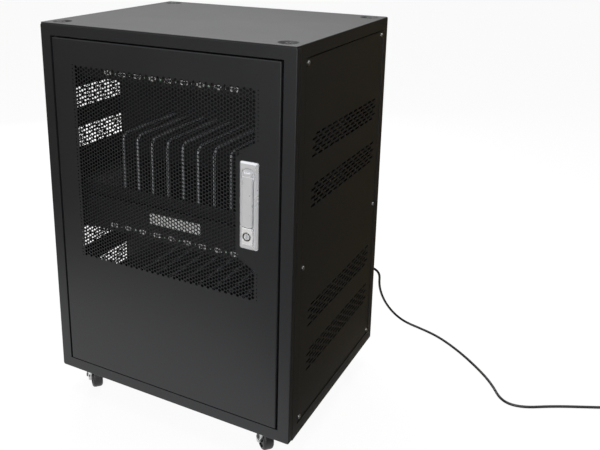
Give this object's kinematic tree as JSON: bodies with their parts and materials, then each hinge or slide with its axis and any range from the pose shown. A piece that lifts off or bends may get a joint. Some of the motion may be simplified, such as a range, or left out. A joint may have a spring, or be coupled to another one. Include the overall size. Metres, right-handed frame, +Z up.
{
  "type": "charging cabinet",
  "caption": "Black sheet-steel charging cabinet on castors with a perforated door, swing handle, slotted sides, wire-divided bays and a mains cord.",
  "frame": {"origin": "on the floor under the middle of the body", "axes": "+X to the right seen from the front, +Y to the back, +Z up"},
  "size_m": [1.327, 0.7038, 0.888],
  "materials": {
    "black_powder_coat": "satin powder coat",
    "zinc_plated_steel": "zinc plated",
    "blackened_steel": "black oxide",
    "bright_wire": "bright drawn wire",
    "silver_die_cast": "satin silver lacquer",
    "polished_nickel": "polished",
    "black_plastic": "matt",
    "cord_jacket": "matt",
    "grey_label": "satin",
    "lamp_lens": "clear tinted",
    "wheel_tread": "matt"
  },
  "bodies": {
    "cabinet": {"front_frame": "black_powder_coat", "corner_posts": "black_powder_coat", "bottom_ring": "black_powder_coat", "top_ring": "black_powder_coat", "top_cover": "black_powder_coat", "side_panel_left": "black_powder_coat", "side_panel_right": "black_powder_coat", "back_panel": "black_powder_coat", "rack_rails": "black_powder_coat", "partition": "black_powder_coat", "tray_lower": "black_powder_coat", "tray_upper": "black_powder_coat", "charger_case_lower": "black_powder_coat", "charger_case_upper": "black_powder_coat", "base_plate": "zinc_plated_steel", "body_fasteners": "zinc_plated_steel", "keeper": "zinc_plated_steel", "castor_plates": "zinc_plated_steel", "top_bolts": "blackened_steel", "hinge_pins": "blackened_steel", "dividers_lower": "bright_wire", "dividers_upper": "bright_wire", "charge_ports": "polished_nickel", "port_inserts": "black_plastic", "charger_supplies": "black_plastic", "power_strip": "black_plastic", "cord_gland": "black_plastic", "cord_strain_relief": "black_plastic", "plug": "black_plastic", "tie": "black_plastic", "cord": "cord_jacket", "coil": "cord_jacket", "label_plate": "grey_label", "pilot_lamps": "lamp_lens"},
    "door": {"door_skin": "black_powder_coat", "door_mesh": "black_powder_coat", "door_hinge_blocks": "zinc_plated_steel", "handle_plate": "silver_die_cast", "handle_screws": "zinc_plated_steel", "lock_block": "polished_nickel"},
    "rotor": {"handle_rotor": "silver_die_cast", "lever_pin": "zinc_plated_steel", "latch_tongue": "zinc_plated_steel", "tongue_screw": "zinc_plated_steel"},
    "lever": {"handle_lever": "silver_die_cast"},
    "key": {"key_cylinder": "polished_nickel"},
    "swivel_1": {"castor_fork_1": "zinc_plated_steel", "castor_axle_1": "zinc_plated_steel"},
    "wheel_1": {"castor_wheel_1": "wheel_tread"},
    "swivel_2": {"castor_fork_2": "zinc_plated_steel", "castor_axle_2": "zinc_plated_steel"},
    "wheel_2": {"castor_wheel_2": "wheel_tread"},
    "swivel_3": {"castor_fork_3": "zinc_plated_steel", "castor_axle_3": "zinc_plated_steel"},
    "wheel_3": {"castor_wheel_3": "wheel_tread"},
    "swivel_4": {"castor_fork_4": "zinc_plated_steel", "castor_axle_4": "zinc_plated_steel"},
    "wheel_4": {"castor_wheel_4": "wheel_tread"},
    "brake_1": {"brake_lever_1": "blackened_steel"},
    "brake_2": {"brake_lever_2": "blackened_steel"}
  },
  "joints": [
    {"name": "door_hinge", "type": "hinge", "parent": "cabinet", "child": "door", "pos_m": [-0.264, -0.231, 0.479], "axis": [0, 0, -1], "range_deg": [0, 105]},
    {"name": "rotor_turn", "type": "hinge", "parent": "door", "child": "rotor", "pos_m": [0.206, -0.244, 0.635], "axis": [0, -1, 0], "range_deg": [0, 90]},
    {"name": "lever_flip", "type": "hinge", "parent": "rotor", "child": "lever", "pos_m": [0.206, -0.2468, 0.64], "axis": [-1, 0, 0], "range_deg": [0, 35]},
    {"name": "key_turn", "type": "hinge", "parent": "door", "child": "key", "pos_m": [0.206, -0.2455, 0.51325], "axis": [0, -1, 0], "range_deg": [0, 90]},
    {"name": "swivel_turn_1", "type": "hinge", "parent": "cabinet", "child": "swivel_1", "pos_m": [-0.2325, -0.198, 0.0587], "axis": [0, 0, 1], "continuous": true},
    {"name": "wheel_roll_1", "type": "hinge", "parent": "swivel_1", "child": "wheel_1", "pos_m": [-0.24439, -0.18729, 0.025], "axis": [0.6691, 0.7431, 0], "continuous": true},
    {"name": "brake_press_1", "type": "hinge", "parent": "swivel_1", "child": "brake_1", "pos_m": [-0.24655, -0.21361, 0.055], "axis": [0.7431, -0.6691, 0], "range_deg": [0, 14]},
    {"name": "swivel_turn_2", "type": "hinge", "parent": "cabinet", "child": "swivel_2", "pos_m": [0.2325, -0.198, 0.0587], "axis": [0, 0, 1], "continuous": true},
    {"name": "wheel_roll_2", "type": "hinge", "parent": "swivel_2", "child": "wheel_2", "pos_m": [0.22061, -0.18729, 0.025], "axis": [0.6691, 0.7431, 0], "continuous": true},
    {"name": "brake_press_2", "type": "hinge", "parent": "swivel_2", "child": "brake_2", "pos_m": [0.21845, -0.21361, 0.055], "axis": [0.7431, -0.6691, 0], "range_deg": [0, 14]},
    {"name": "swivel_turn_3", "type": "hinge", "parent": "cabinet", "child": "swivel_3", "pos_m": [-0.2325, 0.192, 0.0587], "axis": [0, 0, 1], "continuous": true},
    {"name": "wheel_roll_3", "type": "hinge", "parent": "swivel_3", "child": "wheel_3", "pos_m": [-0.24439, 0.20271, 0.025], "axis": [0.6691, 0.7431, 0], "continuous": true},
    {"name": "swivel_turn_4", "type": "hinge", "parent": "cabinet", "child": "swivel_4", "pos_m": [0.2325, 0.192, 0.0587], "axis": [0, 0, 1], "continuous": true},
    {"name": "wheel_roll_4", "type": "hinge", "parent": "swivel_4", "child": "wheel_4", "pos_m": [0.22061, 0.20271, 0.025], "axis": [0.6691, 0.7431, 0], "continuous": true}
  ]
}
